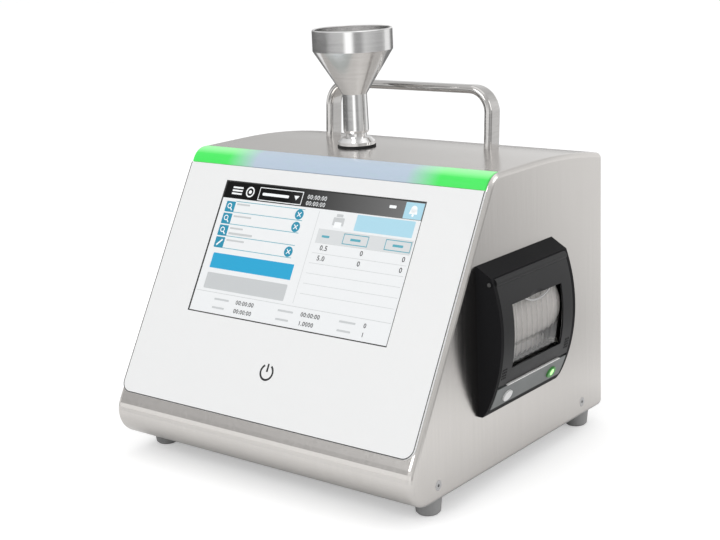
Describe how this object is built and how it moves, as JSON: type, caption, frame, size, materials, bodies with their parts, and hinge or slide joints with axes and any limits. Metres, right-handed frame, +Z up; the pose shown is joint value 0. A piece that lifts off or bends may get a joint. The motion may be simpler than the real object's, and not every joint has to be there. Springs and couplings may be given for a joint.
{
  "type": "airborne particle counter",
  "caption": "Portable airborne particle counter: sloped-front stainless cabinet with touch screen, sampling funnel, carry handle and a side thermal printer with a swing-up door.",
  "frame": {"origin": "centre of the whole object's footprint box, on the surface it stands on", "axes": "+X to the side with the printer (right seen from the front), +Y to the rear panel, +Z up; the screen faces -Y"},
  "size_m": [0.247, 0.215, 0.2585],
  "materials": {
    "steel_shell": "brushed, satin",
    "steel_sheet": "brushed sheet",
    "steel_polished": "polished",
    "steel_screw": "plain machined",
    "brass_nut": "plain machined",
    "motor_case": "plain",
    "overlay_film": "satin film, printed",
    "screen_module": "black frame behind the film",
    "bar_diffuser": "milky diffuser",
    "housing_plastic": "fine moulded grain",
    "door_plastic": "satin moulded",
    "window_clear": "clear fluted plastic",
    "key_panel": "satin moulded",
    "open_key_plastic": "satin moulded",
    "feed_key_plastic": "satin moulded",
    "thermal_paper": "smooth paper",
    "core_card": "card",
    "rubber_black": "matt",
    "rubber_foot": "matt",
    "gear_plastic": "plain moulded",
    "head_ceramic": "glazed",
    "board_green": "solder mask",
    "optic_black": "black anodised",
    "tube_clear": "clear hose",
    "inner_black": "plain moulded",
    "filter_media": "pleated media",
    "battery_wrap": "shrink wrap",
    "battery_cover": "brushed sheet",
    "port_metal": "plated"
  },
  "bodies": {
    "cabinet": {"cabinet_shell": "steel_shell", "base_pan": "steel_sheet", "rear_panel": "steel_sheet", "chassis_shelf": "steel_sheet", "sensor_bracket": "steel_sheet", "carry_handle": "steel_polished", "inlet_fitting": "steel_polished", "isokinetic_probe": "steel_polished", "foot_screws": "steel_screw", "side_screws": "steel_screw", "rear_screws": "steel_screw", "handle_screws": "steel_screw", "inlet_tube": "steel_screw", "door_pin": "steel_screw", "battery_hinge_pin": "steel_screw", "tear_bar": "steel_screw", "inlet_nut": "brass_nut", "printer_motor": "motor_case", "front_overlay": "overlay_film", "display_module": "screen_module", "light_bar": "bar_diffuser", "printer_housing": "housing_plastic", "key_bar": "key_panel", "paper_roll": "thermal_paper", "paper_core": "core_card", "inlet_gasket": "rubber_black", "probe_o_ring": "rubber_black", "feet": "rubber_foot", "print_head": "head_ceramic", "main_board": "board_green", "display_board": "board_green", "printer_board": "board_green", "key_board": "board_green", "light_board": "board_green", "sensor_block": "optic_black", "laser_module": "optic_black", "detector_module": "optic_black", "light_trap": "optic_black", "outlet_tube": "tube_clear", "blower_housing": "inner_black", "fan_frame": "inner_black", "battery_bay": "inner_black", "power_inlet": "inner_black", "exhaust_filter": "filter_media", "battery_packs": "battery_wrap", "network_port": "port_metal", "usb_port": "port_metal"},
    "printer_door": {"printer_door": "door_plastic", "door_window": "window_clear"},
    "platen": {"platen_roller": "rubber_black", "platen_shaft": "steel_screw", "platen_gear": "gear_plastic"},
    "idler": {"idler_gear": "gear_plastic"},
    "pinion": {"motor_pinion": "brass_nut"},
    "open_key": {"open_key": "open_key_plastic"},
    "feed_key": {"feed_key": "feed_key_plastic"},
    "blower_rotor": {"blower_rotor": "inner_black"},
    "fan_rotor": {"fan_rotor": "inner_black"},
    "battery_door": {"battery_door": "battery_cover"}
  },
  "joints": [
    {"name": "printer_door_hinge", "type": "hinge", "parent": "cabinet", "child": "printer_door", "pos_m": [0.11656, 0.0005, 0.1264], "axis": [0, -1, 0], "range_deg": [0, 95]},
    {"name": "platen_spin", "type": "hinge", "parent": "printer_door", "child": "platen", "pos_m": [0.1122, 0.0005, 0.071], "axis": [0, 1, 0], "continuous": true},
    {"name": "idler_spin", "type": "hinge", "parent": "cabinet", "child": "idler", "pos_m": [0.10412, 0.0005, 0.071], "axis": [0, 1, 0], "continuous": true},
    {"name": "pinion_spin", "type": "hinge", "parent": "cabinet", "child": "pinion", "pos_m": [0.09754, 0.0005, 0.071], "axis": [0, 1, 0], "continuous": true},
    {"name": "open_key_press", "type": "slide", "parent": "cabinet", "child": "open_key", "axis": [-0.9203, 0, 0.3912], "range_m": [0, 0.0008], "stiffness_N_per_m": 400},
    {"name": "feed_key_press", "type": "slide", "parent": "cabinet", "child": "feed_key", "axis": [-0.9203, 0, 0.3912], "range_m": [0, 0.0008], "stiffness_N_per_m": 400},
    {"name": "blower_spin", "type": "hinge", "parent": "cabinet", "child": "blower_rotor", "pos_m": [0, 0.0265, 0.0897], "axis": [1, 0, 0], "continuous": true},
    {"name": "fan_spin", "type": "hinge", "parent": "cabinet", "child": "fan_rotor", "pos_m": [0.027, 0.1, 0.134], "axis": [0, 1, 0], "continuous": true},
    {"name": "battery_door_hinge", "type": "hinge", "parent": "cabinet", "child": "battery_door", "pos_m": [-0.1092, 0.1053, 0.04], "axis": [0, 0, 1], "range_deg": [0, 110]}
  ],
  "couplings": [
    {"joint": "idler_spin", "follows": "platen_spin", "ratio": -1.2857},
    {"joint": "pinion_spin", "follows": "platen_spin", "ratio": 1.5}
  ]
}
